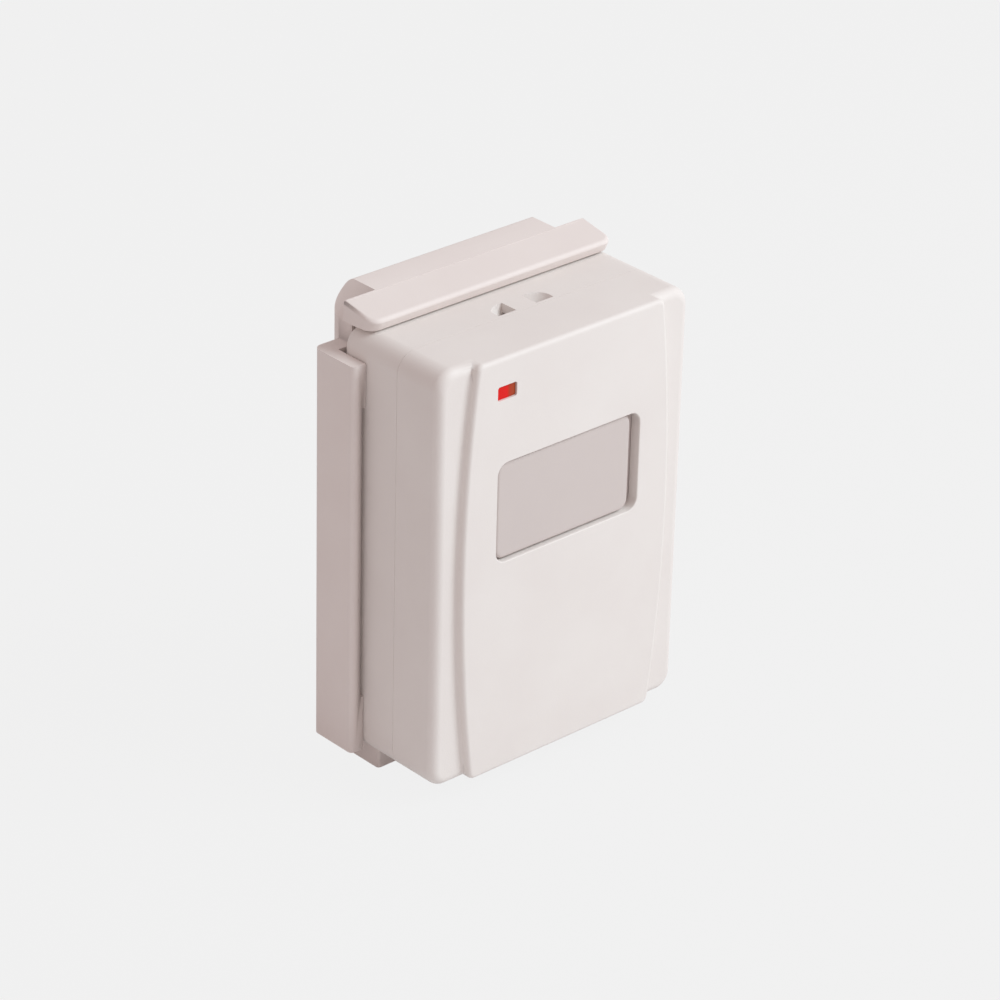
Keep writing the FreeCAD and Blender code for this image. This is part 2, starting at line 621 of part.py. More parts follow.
def hook_lip():
    """The part of the hook that reaches forward over the case, thinner at its front."""
    lip = shelf(HOOK_FRONT, PLATE_FRONT, HOOK_UNDER, HOOK_TOP, HOOK_LIP_FRONT, HOOK_WIDTH / 2, HOOK_LIP_CORNER)
    upper = edges_where(lip, lambda edge: edge.BoundBox.ZMin > HOOK_UNDER + HOOK_LIP_FRONT / 2
                        and not all_at_y(edge, PLATE_FRONT))
    return lip.makeFillet(HOOK_EDGE, upper)


def bottom_ledge():
    """The shelf that the case stands on, which runs back to the wall."""
    return shelf(PLATE_FRONT - LEDGE_REACH, PLATE_REAR, -LEDGE_THICKNESS, 0, LEDGE_THICKNESS,
                 LEDGE_WIDTH / 2, LEDGE_CORNER)


def back_outline():
    """Front view of the standing back: upright sides, with sloping shoulders at the top."""
    neck, shoulder = HALF_BACK, SHOULDER_WIDTH / 2
    corners = [(-neck, -LEDGE_THICKNESS), (neck, -LEDGE_THICKNESS), (neck, HOOK_TOP - SHOULDER_DROP),
               (shoulder, HOOK_TOP), (-shoulder, HOOK_TOP), (-neck, HOOK_TOP - SHOULDER_DROP)]
    points = [Vector(x, PLATE_FRONT, z) for x, z in corners]
    return extrude_face([segment(a, b) for a, b in zip(points, points[1:] + points[:1])],
                        Vector(0, WALL_Y - PLATE_FRONT, 0))


def standing_back():
    """The middle of the back, which stands out to the wall and rises into the hook's neck."""
    body = block(-HALF_BACK, HALF_BACK, PLATE_FRONT, WALL_Y, -LEDGE_THICKNESS, HOOK_TOP)
    ridge = edges_where(body, lambda edge: all_at_y(edge, WALL_Y) and edge.BoundBox.ZMin > HOLDER_TOP)
    body = body.makeFillet(RIDGE_ROUND, ridge)
    upright = edges_where(body, lambda edge: all_at_y(edge, WALL_Y) and runs_along(edge, Vector(0, 0, 1)))
    body = body.makeFillet(BACK_CORNER, upright)
    return body.common(back_outline())


def back_cores():
    """Pockets that core the back from the wall side, between its rim, its ribs and the pads at the holes."""
    inner = HALF_BACK - BACK_WALL
    levels = [BACK_WALL - LEDGE_THICKNESS, HOLES_MIDDLE - BACK_RIB_SPACING, HOLES_MIDDLE,
              HOLES_MIDDLE + BACK_RIB_SPACING, HOLDER_TOP + BACK_WALL]
    pads = [rod(0, PLATE_FRONT, z, HOLE_PAD_RADIUS, WALL_Y - PLATE_FRONT) for z in wall_hole_levels()]
    cores = []
    for low, high in zip(levels, levels[1:]):
        for side in (-1, 1):
            ends = sorted((side * BACK_RIB / 2, side * inner))
            core = block(ends[0], ends[1], PLATE_REAR, WALL_Y, low + BACK_RIB / 2, high - BACK_RIB / 2)
            cores.append(cut_each(core, pads))
    return cores


def wall_hole_levels():
    return (HOLES_MIDDLE - WALL_HOLE_SPACING / 2, HOLES_MIDDLE + WALL_HOLE_SPACING / 2)


def flanged_plate():
    """Back plate with the two side flanges, relieved along the middle of their inner faces."""
    plate = block(-HOLDER_OUTER, HOLDER_OUTER, PLATE_FRONT - FLANGE_REACH, PLATE_REAR,
                  HOLDER_BOTTOM, HOLDER_TOP)
    sides = edges_where(plate, lambda edge: abs(abs(edge.CenterOfMass.x) - HOLDER_OUTER) < 1e-6)
    rear = [edge for edge in sides if all_at_y(edge, PLATE_REAR)]
    plate = plate.makeFillet(HOLDER_REAR_EDGE, rear)
    front = edges_where(plate, lambda edge: all_at_y(edge, PLATE_FRONT - FLANGE_REACH)
                        and runs_along(edge, Vector(0, 0, 1)))
    plate = plate.makeFillet(HOLDER_EDGE, front)
    plate = plate.cut(block(-HOLDER_INNER, HOLDER_INNER, PLATE_FRONT - FLANGE_REACH, PLATE_FRONT,
                            HOLDER_BOTTOM, HOLDER_TOP))
    relief_half = HOLDER_INNER + FLANGE_RELIEF
    return plate.cut(block(-relief_half, relief_half, PLATE_FRONT - FLANGE_REACH, PLATE_FRONT,
                           FLANGE_RELIEF_LOW, FLANGE_RELIEF_HIGH))


def holder():
    """Back plate with side flanges, bottom ledge and sprung hook, moulded in one piece."""
    body = fuse([flanged_plate(), standing_back(), bottom_ledge(), hook_lip()])
    body = cut_each(body, back_cores())
    holes = []
    for z in wall_hole_levels():
        holes.append(rod(0, PLATE_FRONT, z, WALL_HOLE_RADIUS, WALL_Y - PLATE_FRONT))
        sink = WALL_HOLE_HEAD_RADIUS - WALL_HOLE_RADIUS
        holes.append(Part.makeCone(WALL_HOLE_HEAD_RADIUS, WALL_HOLE_RADIUS, sink, Vector(0, PLATE_FRONT, z),
                                   Vector(0, 1, 0)))
    return cut_each(body, holes)


def build():
    """Every node of the part, by name."""
    return {
        "front_cover": front_cover(),
        "rear_cover": rear_cover(),
        "holder": holder(),
        "alarm_button": alarm_button(),
        "indicator_lens": indicator_lens(),
        "circuit_board": circuit_board(),
        "switch_body": switch_body(),
        "switch_plunger": switch_plunger(),
        "switch_terminals": switch_terminals(),
        "indicator_led": indicator_led(),
        "radio_chip": rear_component(RADIO_SIZE, *by_switch(RADIO_PLACE)),
        "controller_chip": rear_component(CONTROLLER_SIZE, *by_switch(CONTROLLER_PLACE)),
        "crystal": rear_component(CRYSTAL_SIZE, *by_switch(CRYSTAL_PLACE)),
        "voltage_regulator": rear_component(REGULATOR_SIZE, REGULATOR_X, BOARD_BOTTOM + REGULATOR_RISE),
        "board_capacitors": board_capacitors(),
        "antenna_wire": antenna_wire(),
        "battery": battery(),
        "positive_contact": contact_plate(CELL_RIGHT, 1),
        "negative_contact": contact_plate(CELL_LEFT - SPRING_LENGTH, -1),
        "battery_spring": battery_spring(),
        "case_screws": case_screws(),
        "board_screws": board_screws(),
    }


def main():
    os.makedirs("parts", exist_ok=True)
    for name, shape in build().items():
        shape.translate(ORIGIN * -1)
        shape.exportStep(os.path.join("parts", name + ".step"))
        box = shape.BoundBox
        print(f"{name:20s} solids {len(shape.Solids)} valid {shape.isValid()} volume {shape.Volume:9.1f} "
              f"X {box.XMin:.2f}..{box.XMax:.2f} Y {box.YMin:.2f}..{box.YMax:.2f} Z {box.ZMin:.2f}..{box.ZMax:.2f}")


if __name__ == "__main__":
    main()
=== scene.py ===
"""Looks of a wireless panic button in its wall holder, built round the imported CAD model."""
import json
import math

import bmesh
import bpy
from bpy.props import FloatProperty, StringProperty
from mathutils import Matrix, Vector

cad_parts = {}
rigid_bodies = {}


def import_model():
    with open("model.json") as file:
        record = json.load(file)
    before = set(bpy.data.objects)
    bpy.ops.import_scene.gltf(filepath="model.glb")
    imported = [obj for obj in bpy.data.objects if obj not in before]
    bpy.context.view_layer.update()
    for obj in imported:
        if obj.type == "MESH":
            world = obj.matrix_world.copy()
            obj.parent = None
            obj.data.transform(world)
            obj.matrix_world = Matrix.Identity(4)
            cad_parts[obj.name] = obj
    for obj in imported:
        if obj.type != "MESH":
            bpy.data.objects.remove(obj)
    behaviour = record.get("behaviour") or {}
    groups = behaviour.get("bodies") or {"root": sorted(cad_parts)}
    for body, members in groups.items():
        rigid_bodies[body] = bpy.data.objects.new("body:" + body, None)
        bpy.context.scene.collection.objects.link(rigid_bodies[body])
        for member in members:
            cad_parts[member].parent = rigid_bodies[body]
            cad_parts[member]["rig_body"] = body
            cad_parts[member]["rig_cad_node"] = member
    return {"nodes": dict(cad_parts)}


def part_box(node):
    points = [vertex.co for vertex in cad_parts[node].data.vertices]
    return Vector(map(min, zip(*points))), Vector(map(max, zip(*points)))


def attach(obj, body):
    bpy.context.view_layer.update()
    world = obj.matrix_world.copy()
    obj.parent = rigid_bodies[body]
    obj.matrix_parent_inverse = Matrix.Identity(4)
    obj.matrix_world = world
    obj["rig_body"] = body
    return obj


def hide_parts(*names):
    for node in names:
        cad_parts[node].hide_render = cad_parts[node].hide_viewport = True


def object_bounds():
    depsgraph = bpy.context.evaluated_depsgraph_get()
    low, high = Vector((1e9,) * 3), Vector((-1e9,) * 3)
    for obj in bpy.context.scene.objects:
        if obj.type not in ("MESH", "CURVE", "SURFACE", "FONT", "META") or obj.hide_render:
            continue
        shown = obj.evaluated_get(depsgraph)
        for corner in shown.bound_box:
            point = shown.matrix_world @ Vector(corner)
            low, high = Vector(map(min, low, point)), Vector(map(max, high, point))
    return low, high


bl_info = {
    "name": "Panic button looks",
    "version": (1, 0, 0),
    "blender": (4, 5, 0),
    "location": "View3D > Sidebar > Panic button",
    "description": "Case, holder, press cap, window, materials and studio for a wireless panic button",
    "category": "Object",
}

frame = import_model()
CAD_BOX = [list(corner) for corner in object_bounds()]
MM = 0.001
# Tolerance of picks by place, and the angle in radians past which an edge counts as a corner
NEAR = 0.01 * MM
CORNER_ANGLE = 0.9
CASE, BUTTON = "case", "button"


def linear(hex_colour):
    """An sRGB hex colour as linear RGBA."""
    channels = [int(hex_colour[i:i + 2], 16) / 255 for i in (0, 2, 4)]
    return [c / 12.92 if c <= 0.04045 else ((c + 0.055) / 1.055) ** 2.4 for c in channels] + [1.0]


# Node trees

def add(tree, kind, links=(), **settings):
    """Adds a node, sets its properties and unlinked inputs, and links the inputs that are given."""
    node = tree.nodes.new(kind)
    for name, value in settings.items():
        if hasattr(node, name):
            setattr(node, name, value)
        else:
            node.inputs[name.replace("_", " ")].default_value = value
    for name, socket in dict(links).items():
        tree.links.new(socket, node.inputs[name])
    return node


def blank_material(name):
    material = bpy.data.materials.new(name)
    material.use_nodes = True
    material.node_tree.nodes.clear()
    return material, material.node_tree


def ramp_between(tree, factor, stops):
    """Colour ramp over (position, hex) stops."""
    ramp = add(tree, "ShaderNodeValToRGB", {"Fac": factor})
    elements = ramp.color_ramp.elements
    elements[0].position, elements[0].color = stops[0][0], linear(stops[0][1])
    elements[1].position, elements[1].color = stops[-1][0], linear(stops[-1][1])
    for position, colour in stops[1:-1]:
        elements.new(position).color = linear(colour)
    return ramp


def place_on(tree):
    return add(tree, "ShaderNodeTexCoord").outputs["Object"]


def grain_per_metre(size_mm):
    """Noise scale whose features are about this size on coordinates in metres."""
    return 1 / (size_mm * MM)


def moulded_plastic(name, shades, roughness, grain_mm, grain_height_mm, ior=1.53):
    """Injection-moulded thermoplastic: nearly even colour, a fine eroded grain and slight differences in sheen."""
    material, tree = blank_material(name)
    place = place_on(tree)
    clouds = add(tree, "ShaderNodeTexNoise", {"Vector": place}, Scale=grain_per_metre(14), Detail=3.0)
    colour = ramp_between(tree, clouds.outputs["Fac"], [(0.3, shades[0]), (0.7, shades[1])])
    sheen_noise = add(tree, "ShaderNodeTexNoise", {"Vector": place}, Scale=grain_per_metre(5), Detail=4.0)
    sheen = add(tree, "ShaderNodeMapRange", {"Value": sheen_noise.outputs["Fac"]}, From_Min=0.3, From_Max=0.7,
                To_Min=roughness - 0.04, To_Max=roughness + 0.05)
    grain = add(tree, "ShaderNodeTexNoise", {"Vector": place}, Scale=grain_per_metre(grain_mm), Detail=2.0)
    bump = add(tree, "ShaderNodeBump", {"Height": grain.outputs["Fac"]}, Strength=1.0,
               Distance=grain_height_mm * MM)
    shader = add(tree, "ShaderNodeBsdfPrincipled", {"Base Color": colour.outputs["Color"],
                 "Roughness": sheen.outputs["Result"], "Normal": bump.outputs["Normal"]}, IOR=ior)
    add(tree, "ShaderNodeOutputMaterial", {"Surface": shader.outputs["BSDF"]})
    return material


def plated_metal(name, shades, roughness, brush_mm):
    """Plated or drawn metal with fine drawing marks along Z."""
    material, tree = blank_material(name)
    place = place_on(tree)
    stretch = add(tree, "ShaderNodeMapping", {"Vector": place}, Scale=(1.0, 1.0, 0.08))
    marks = add(tree, "ShaderNodeTexNoise", {"Vector": stretch.outputs["Vector"]},
                Scale=grain_per_metre(brush_mm), Detail=3.0)
    colour = ramp_between(tree, marks.outputs["Fac"], [(0.3, shades[0]), (0.7, shades[1])])
    wear = add(tree, "ShaderNodeMapRange", {"Value": marks.outputs["Fac"]}, From_Min=0.3, From_Max=0.7,
               To_Min=roughness, To_Max=roughness + 0.15)
    bump = add(tree, "ShaderNodeBump", {"Height": marks.outputs["Fac"]}, Strength=0.6, Distance=0.01 * MM)
    shader = add(tree, "ShaderNodeBsdfPrincipled", {"Base Color": colour.outputs["Color"],
                 "Roughness": wear.outputs["Result"], "Normal": bump.outputs["Normal"]}, Metallic=1.0)
    add(tree, "ShaderNodeOutputMaterial", {"Surface": shader.outputs["BSDF"]})
    return material


def board_laminate(name):
    """Epoxy glass board: green solder mask over copper runs, with the weave just showing."""
    material, tree = blank_material(name)
    place = place_on(tree)
    runs = add(tree, "ShaderNodeTexBrick", {"Vector": place}, Scale=grain_per_metre(9), Mortar_Size=0.03,
               Color1=linear("0F5A34"), Color2=linear("0D5230"), Mortar=linear("2A8452"))
    weave = add(tree, "ShaderNodeTexWave", {"Vector": place}, Scale=grain_per_metre(4), Distortion=0.4)
    bump = add(tree, "ShaderNodeBump", {"Height": weave.outputs["Fac"]}, Strength=0.3, Distance=0.02 * MM)
    shader = add(tree, "ShaderNodeBsdfPrincipled", {"Base Color": runs.outputs["Color"],
                 "Normal": bump.outputs["Normal"]}, Roughness=0.32, IOR=1.52)
    add(tree, "ShaderNodeOutputMaterial", {"Surface": shader.outputs["BSDF"]})
    return material


def battery_sleeve(name, low_x=-16 * MM, high_x=19 * MM):
    """Printed shrink sleeve over a steel can: a dark body with a golden band at the positive end."""
    material, tree = blank_material(name)
    place = place_on(tree)
    across = add(tree, "ShaderNodeSeparateXYZ", {"Vector": place})
    along = add(tree, "ShaderNodeMapRange", {"Value": across.outputs["X"]}, From_Min=low_x, From_Max=high_x)
    band = ramp_between(tree, along.outputs["Result"], [(0.0, "1F3355"), (0.70, "1F3355"), (0.72, "C9A24A"),
                                                        (0.96, "C9A24A"), (0.97, "BDBDB8"), (1.0, "BDBDB8")])
    crease = add(tree, "ShaderNodeTexNoise", {"Vector": place}, Scale=grain_per_metre(2), Detail=3.0)
    bump = add(tree, "ShaderNodeBump", {"Height": crease.outputs["Fac"]}, Strength=0.3, Distance=0.03 * MM)
    shader = add(tree, "ShaderNodeBsdfPrincipled", {"Base Color": band.outputs["Color"],
                 "Normal": bump.outputs["Normal"]}, Roughness=0.3, IOR=1.5)
    add(tree, "ShaderNodeOutputMaterial", {"Surface": shader.outputs["BSDF"]})
    return material


def red_lens_painted_shade(name, low_x, high_x):
    """Red clear acrylic, browner towards the right as painted shade of the window's wall, with a faint painted glow.
    """
    material, tree = blank_material(name)
    place = place_on(tree)
    across = add(tree, "ShaderNodeSeparateXYZ", {"Vector": place})
    along = add(tree, "ShaderNodeMapRange", {"Value": across.outputs["X"]}, From_Min=low_x, From_Max=high_x)
    # Painted shade: the ramp runs from the lens's red to brown on the right, where the window's wall shades it
    red_to_painted_shade = ramp_between(tree, along.outputs["Result"], [(0.0, "DC0E08"), (0.55, "DC1209"), (0.70, "AC3A1E"),
                                                       (1.0, "A04C2A")])
    ripple = add(tree, "ShaderNodeTexNoise", {"Vector": place}, Scale=grain_per_metre(0.8), Detail=1.0)
    bump = add(tree, "ShaderNodeBump", {"Height": ripple.outputs["Fac"]}, Strength=0.3, Distance=0.02 * MM)
    # The weak emission is a painted glow: the lens is no lamp
    shader = add(tree, "ShaderNodeBsdfPrincipled", {"Base Color": red_to_painted_shade.outputs["Color"],
                 "Normal": bump.outputs["Normal"]}, Roughness=0.3, IOR=1.49, Specular_IOR_Level=0.2,
                 Emission_Color=linear("E01008"), Emission_Strength=0.03)
    add(tree, "ShaderNodeOutputMaterial", {"Surface": shader.outputs["BSDF"]})
    return material


# Mesh work

def open_mesh():
    bpy.ops.object.mode_set(mode="EDIT")


def close_mesh():
    bpy.ops.object.mode_set(mode="OBJECT")


def deselect():
    if bpy.context.object and bpy.context.object.mode != "OBJECT":
        close_mesh()
    bpy.ops.object.select_all(action="DESELECT")


def activate(obj):
    deselect()
    obj.select_set(True)
    bpy.context.view_layer.objects.active = obj


def is_fin(face, edge, width=0.12 * MM, flat_angle=math.radians(8)):
    """True for a hair-thin face that stands across a rounding, in the plane of none of its other neighbours."""
    longest = max(side.calc_length() for side in face.edges)
    if 2 * face.calc_area() / longest > width:
        return False
    return all(side.calc_face_angle(0) > flat_angle for side in face.edges if side != edge)


def finish_shading(piece, smooth_angle=32):
    """Smooth shading over the roundings, with the flat faces kept flat by weighted normals."""
    activate(piece)
    bpy.ops.object.shade_smooth_by_angle(angle=math.radians(smooth_angle))
    open_mesh()
    pick(piece, "edges", lambda edge: not edge.smooth and any(is_fin(face, edge) for face in edge.link_faces))
    bpy.ops.mesh.mark_sharp(clear=True)
    close_mesh()
    bpy.ops.object.modifier_add(type="WEIGHTED_NORMAL")
    weighted = piece.modifiers[-1]
    weighted.weight = 100
    weighted.keep_sharp = True
    bpy.ops.object.modifier_apply(modifier=weighted.name)


def stand_for(piece, node, body, material):
    """Gives a finished piece its material and its body, and hides the CAD node that it stands for."""
    piece.data.materials.clear()
    piece.data.materials.append(material)
    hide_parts(node)
    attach(piece, body)


def copy_node(node, name):
    """A copy of a CAD node's object, with its loose triangles merged."""
    activate(frame["nodes"][node])
    bpy.ops.object.duplicate()
    piece = bpy.context.object
    piece.name = name
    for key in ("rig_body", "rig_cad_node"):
        del piece[key]
    piece.parent = None
    open_mesh()
    bpy.ops.mesh.select_all(action="SELECT")
    bpy.ops.mesh.remove_doubles(threshold=0.002 * MM)
    bpy.ops.mesh.dissolve_limited(angle_limit=math.radians(0.5))
    face_outwards()
    return piece


def combine(piece, other, operation):
    """Unites a piece with another, or cuts it by the other, which is used up."""
    activate(piece)
    bpy.ops.object.modifier_add(type="BOOLEAN")
    step = piece.modifiers[-1]
    step.operation = operation
    step.solver = "EXACT"
    step.object = other
    bpy.ops.object.modifier_apply(modifier=step.name)
    activate(other)
    bpy.ops.object.delete()
    activate(piece)


def rounded_block(low, high, corner, segments=6):
    """A block whose four edges along Y are rounded."""
    piece = start_box("cutter", low, high)
    bevel(piece, runs_back, corner, segments)
    close_mesh()
    return piece


def plain_block(low, high):
    piece = start_box("cutter", low, high)
    close_mesh()
    return piece


def join_to(piece, other):
    """Joins another object's mesh to a piece's, which stays the object of both."""
    deselect()
    other.select_set(True)
    piece.select_set(True)
    bpy.context.view_layer.objects.active = piece
    bpy.ops.object.join()


def turned_rod(middle, radius, length, sides):
    """A round rod along Y, with its place in its mesh."""
    deselect()
    bpy.ops.mesh.primitive_cylinder_add(vertices=sides, radius=radius, depth=length, location=middle,
                                        rotation=(math.radians(90), 0, 0))
    rod = bpy.context.object
    bpy.ops.object.transform_apply(location=True, rotation=True, scale=True)
    return rod


def start_box(name, low, high):
    """A block between two corners, with its size and place in its mesh, open for editing."""
    deselect()
    middle = [(a + b) / 2 for a, b in zip(low, high)]
    bpy.ops.mesh.primitive_cube_add(size=1.0, location=middle, scale=[b - a for a, b in zip(low, high)])
    piece = bpy.context.object
    piece.name = name
    bpy.ops.object.transform_apply(location=True, rotation=True, scale=True)
    open_mesh()
    return piece


def pick(piece, kind, test):
    """Selects the verts, edges or faces of the mesh in edit mode for which a test holds."""
    bpy.ops.mesh.select_mode(type={"verts": "VERT", "edges": "EDGE", "faces": "FACE"}[kind])
    bpy.ops.mesh.select_all(action="DESELECT")
    mesh = bmesh.from_edit_mesh(piece.data)
    for item in getattr(mesh, kind):
        if test(item):
            item.select_set(True)
    bmesh.update_edit_mesh(piece.data)


def runs_back(edge):
    """True for an edge that runs straight back, along Y."""
    run = edge.verts[1].co - edge.verts[0].co
    return abs(run.y) > 0.99 * run.length


def lies_at(edge_or_face, y):
    """True for an edge or face that lies at one depth."""
    return all(abs(vert.co.y - y) < NEAR / 10 for vert in edge_or_face.verts)


def bevel(piece, test, radius, segments):
    """Rounds the edges of the mesh in edit mode for which a test holds."""
    pick(piece, "edges", test)
    bpy.ops.mesh.bevel(offset=radius, segments=segments)


def inset_at(piece, depth, thickness):
    """Insets the faces that lie at a depth, and keeps the inner one selected."""
    pick(piece, "faces", lambda face: lies_at(face, depth))
    bpy.ops.mesh.inset(thickness=thickness)


def push(distance):
    """Extrudes the selected face along Y."""
    bpy.ops.mesh.extrude_region_move(TRANSFORM_OT_translate={"value": (0, distance, 0)})


def face_outwards():
    """Turns all faces of the mesh in edit mode outwards and closes it."""
    bpy.ops.mesh.select_all(action="SELECT")
    bpy.ops.mesh.normals_make_consistent(inside=False)
    close_mesh()


def dress(nodes, material):
    """Gives CAD nodes a better material through their slots."""
    for name in nodes:
        mesh = frame["nodes"][name].data
        mesh.materials.clear()
        mesh.materials.append(material)


# Settings

class CaseSettings(bpy.types.PropertyGroup):
    """Sizes of the two case mouldings, in metres, and their colours and grain."""
    shade_low: StringProperty(name="Darker shade", description="sRGB hex of the darker plastic", default="E6DFDB")
    shade_high: StringProperty(name="Lighter shade", description="sRGB hex of the lighter plastic", default="E9E3DF")
    roughness: FloatProperty(name="Roughness", description="Surface roughness of the plastic", default=0.58,
                             min=0.0, max=1.0, subtype="FACTOR")
    grain: FloatProperty(name="Grain", description="Size of the moulded grain in millimetres", default=0.30)
    grain_height: FloatProperty(name="Grain height", description="Height of the grain in millimetres",
                                default=0.012)
    case_height: FloatProperty(name="Case height", description="Height of the case", default=76.2 * MM, unit="LENGTH")
    top_corner: FloatProperty(name="Top corner", description="Radius of the case's upper corners",
                              default=3.6 * MM, unit="LENGTH")
    foot_corner: FloatProperty(name="Lower corner", description="Radius of the case's lower corners",
                               default=3.2 * MM, unit="LENGTH")
    strip_drop: FloatProperty(name="Strip depth", description="Depth of the side strips behind the panel",
                              default=1.45 * MM, unit="LENGTH")
    strip_edge: FloatProperty(name="Strip edge", description="Radius of the case's front edges",
                              default=1.7 * MM, unit="LENGTH")
    panel_end: FloatProperty(name="Panel end", description="Half width of the panel at its ends",
                             default=20.3 * MM, unit="LENGTH")
    panel_waist: FloatProperty(name="Panel waist", description="Half width of the panel at mid-height",
                               default=22.9 * MM, unit="LENGTH")
    panel_corner: FloatProperty(name="Panel corner", description="Radius of the panel's corners seen from the front",
                                default=1.2 * MM, unit="LENGTH")
    panel_edge: FloatProperty(name="Panel edge", description="Radius of the panel's front edges",
                              default=0.8 * MM, unit="LENGTH")
    foot: FloatProperty(name="Foot", description="Radius between the panel's sides and the strips",
                        default=0.62 * MM, unit="LENGTH")
    seam: FloatProperty(name="Seam", description="Chamfer at the seam of the two mouldings",
                        default=0.06 * MM, unit="LENGTH")
    seam_depth: FloatProperty(name="Seam depth", description="Depth of the seam behind the panel's face",
                              default=11.5 * MM, unit="LENGTH")
    case_depth: FloatProperty(name="Case depth", description="Depth of the case", default=25.4 * MM, unit="LENGTH")
    rear_edge: FloatProperty(name="Rear edge", description="Radius of the case's rear edges",
                             default=2.4 * MM, unit="LENGTH")
    bridge: FloatProperty(name="Bridge", description="Width of the strap bridge", default=4.4 * MM, unit="LENGTH")
    bridge_height: FloatProperty(name="Bridge height", description="Thickness of the strap bridge",
                                 default=1.6 * MM, unit="LENGTH")
    strap_place: FloatProperty(name="Strap place", description="How far the bridge lies to the right of the middle",
                               default=0.6 * MM, unit="LENGTH")
    strap_span: FloatProperty(name="Strap span", description="Length of the scoop under the bridge",
                              default=12.0 * MM, unit="LENGTH")
    strap_depth: FloatProperty(name="Strap depth", description="Depth of the scoop", default=3.4 * MM,
                               unit="LENGTH")
    strap_width: FloatProperty(name="Strap width", description="Width of the scoop", default=3.5 * MM,
                               unit="LENGTH")
    strap_setback: FloatProperty(name="Strap setback", description="Distance from the seam to the scoop",
                                 default=0.6 * MM, unit="LENGTH")
    strap_round: FloatProperty(name="Strap rounding", description="Radius of the scoop's rear rim",
                               default=2.4 * MM, unit="LENGTH")
    screw_inset_x: FloatProperty(name="Screw inset across", description="Distance of the screws from the sides",
                                 default=4.7 * MM, unit="LENGTH")
    screw_inset_z: FloatProperty(name="Screw inset upright", description="Distance of the screws from the ends",
                                 default=5.2 * MM, unit="LENGTH")
    screw_sink: FloatProperty(name="Screw sink", description="Depth of the screws' head recesses",
                              default=2.8 * MM, unit="LENGTH")
    screw_sink_radius: FloatProperty(name="Sink radius", description="Radius of the screws' head recesses",
                                     default=2.8 * MM, unit="LENGTH")
    screw_hole_radius: FloatProperty(name="Hole radius", description="Radius of the screws' holes",
                                     default=1.6 * MM, unit="LENGTH")
    wall: FloatProperty(name="Wall", description="Wall thickness of the mouldings", default=2.0 * MM, unit="LENGTH")


class HolderSettings(bpy.types.PropertyGroup):
    """Sizes of the holder's hook lip and flanges, in metres, and its colours."""
    plate_front: FloatProperty(name="Plate front", description="Depth of the back plate's front behind the panel",
                               default=25.8 * MM, unit="LENGTH")
    lip_gap: FloatProperty(name="Lip gap", description="Gap between the case and the lip", default=0.3 * MM,
                           unit="LENGTH")
    lip_reach: FloatProperty(name="Lip reach", description="How far the lip reaches forward", default=7.0 * MM,
                             unit="LENGTH")
    lip_width: FloatProperty(name="Lip width", description="Width of the lip", default=52.6 * MM, unit="LENGTH")
    lip_front: FloatProperty(name="Lip front", description="Thickness of the lip at its front", default=2.2 * MM,
                             unit="LENGTH")
    lip_corner: FloatProperty(name="Lip corner", description="Corner radius of the lip seen from above",
                              default=2.2 * MM, unit="LENGTH")
    lip_edge: FloatProperty(name="Lip edge", description="Radius of the lip's upper edges", default=0.7 * MM,
                            unit="LENGTH")
    lip_lean: FloatProperty(name="Lip lean", description="How far the lip's lower front edge is set back",
                            default=0.7 * MM, unit="LENGTH")
    lip_under: FloatProperty(name="Lip under edge", description="Radius of the lip's lower front edge",
                             default=0.3 * MM, unit="LENGTH")
    relief: FloatProperty(name="Relief", description="Gap between the case and the flanges' middle",
                          default=0.85 * MM, unit="LENGTH")
    relief_low: FloatProperty(name="Relief foot", description="Height at which the relief starts",
                              default=-27.6 * MM, unit="LENGTH")
    relief_high: FloatProperty(name="Relief top", description="Height at which the relief ends",
                               default=26.1 * MM, unit="LENGTH")
    shade_low: StringProperty(name="Darker shade", description="sRGB hex of the darker plastic", default="E6DCD8")
    shade_high: StringProperty(name="Lighter shade", description="sRGB hex of the lighter plastic", default="E9E0DC")
    roughness: FloatProperty(name="Roughness", description="Surface roughness of the plastic", default=0.58,
                             min=0.0, max=1.0, subtype="FACTOR")
    grain: FloatProperty(name="Grain", description="Size of the moulded grain in millimetres", default=0.30)
    grain_height: FloatProperty(name="Grain height", description="Height of the grain in millimetres",
                                default=0.012)


